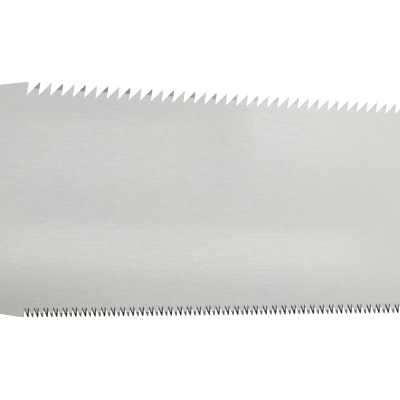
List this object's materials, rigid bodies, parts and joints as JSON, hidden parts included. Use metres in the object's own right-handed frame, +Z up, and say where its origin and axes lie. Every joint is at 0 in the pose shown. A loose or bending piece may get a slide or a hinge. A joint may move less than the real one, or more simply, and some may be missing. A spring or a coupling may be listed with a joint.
{
  "type": "ryoba saw",
  "caption": "Double-edged pull saw: tapered plate with rip teeth on one edge and crosscut teeth on the other, held in a screw clamp on an oval cane-wound handle.",
  "frame": {"origin": "centre of the saw's box in X and Y, on the surface that it lies on", "axes": "+X from the toe to the handle's butt, +Y to the rip edge, +Z up, square to the plate"},
  "size_m": [0.662, 0.0864, 0.026],
  "materials": {
    "blade_steel": "satin ground lengthwise",
    "clamp_steel": "nickel-plated, satin",
    "pin_steel": "plain turned",
    "screw_steel": "bright plated",
    "ferrule_black": "black oxide, satin",
    "handle_wood": "plain, fine-sanded",
    "cane": "split cane, smooth rind outwards",
    "cap_black": "matte",
    "eyelet_brass": "satin"
  },
  "bodies": {
    "handle": {"upper_cheek": "clamp_steel", "lower_cheek": "clamp_steel", "tang_spacer": "pin_steel", "locating_pin": "pin_steel", "cheek_rivets": "pin_steel", "clamp_nut": "screw_steel", "ferrule": "ferrule_black", "ferrule_brads": "screw_steel", "handle_core_upper": "handle_wood", "handle_core_lower": "handle_wood", "tail_pin": "pin_steel", "cane_wrap": "cane", "wrap_brads": "screw_steel", "butt_cap": "cap_black", "cap_screws": "screw_steel", "hang_eyelet": "eyelet_brass"},
    "blade": {"blade": "blade_steel"},
    "clamp_washers": {"flat_washer": "screw_steel", "spring_washer": "screw_steel"},
    "clamp_screw": {"clamp_screw": "screw_steel"}
  },
  "joints": [
    {"name": "blade_slide", "type": "slide", "parent": "handle", "child": "blade", "axis": [-1, 0, 0], "range_m": [0, 0.05]},
    {"name": "washer_lift", "type": "slide", "parent": "handle", "child": "clamp_washers", "axis": [0, 0, 1], "range_m": [0, 0.003]},
    {"name": "screw_turn", "type": "hinge", "parent": "clamp_washers", "child": "clamp_screw", "pos_m": [0.022, 0, 0.013], "axis": [0, 0, 1], "range_deg": [0, 1080]}
  ],
  "couplings": [
    {"joint": "washer_lift", "follows": "screw_turn", "m_per_rad": 0.00015915}
  ]
}
